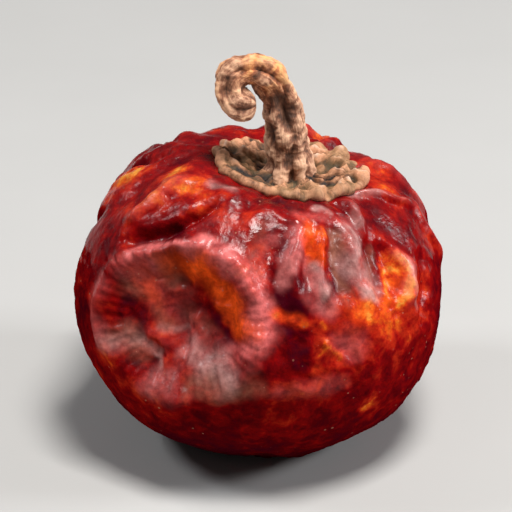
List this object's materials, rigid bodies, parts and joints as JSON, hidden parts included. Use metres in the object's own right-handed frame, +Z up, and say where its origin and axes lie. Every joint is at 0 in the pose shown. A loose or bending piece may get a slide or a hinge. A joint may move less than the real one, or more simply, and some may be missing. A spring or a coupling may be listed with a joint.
{
  "type": "dried gundu chili",
  "caption": "Round dried red chili with a dented, wrinkled, glossy skin, a ruffled calyx in the hollow of its shoulder and a hooked stem, resting on its flattened base",
  "frame": {"origin": "the middle of the flat patch under the pod that the chili rests on", "axes": "+Z up, away from the surface it rests on; -Y towards the front, the side with the large round dent; +X to the right seen from the front"},
  "size_m": [0.0274, 0.0268, 0.0303],
  "materials": {
    "pod_skin": "glossy, wrinkled dried fruit skin, deep red with orange mottling",
    "calyx_husk": "matt dry husk, grey-olive brown",
    "stem_bark": "matt dry stalk with grooves along it, straw brown"
  },
  "bodies": {
    "root": {"pod": "pod_skin", "calyx": "calyx_husk", "stem": "stem_bark"}
  },
  "joints": []
}
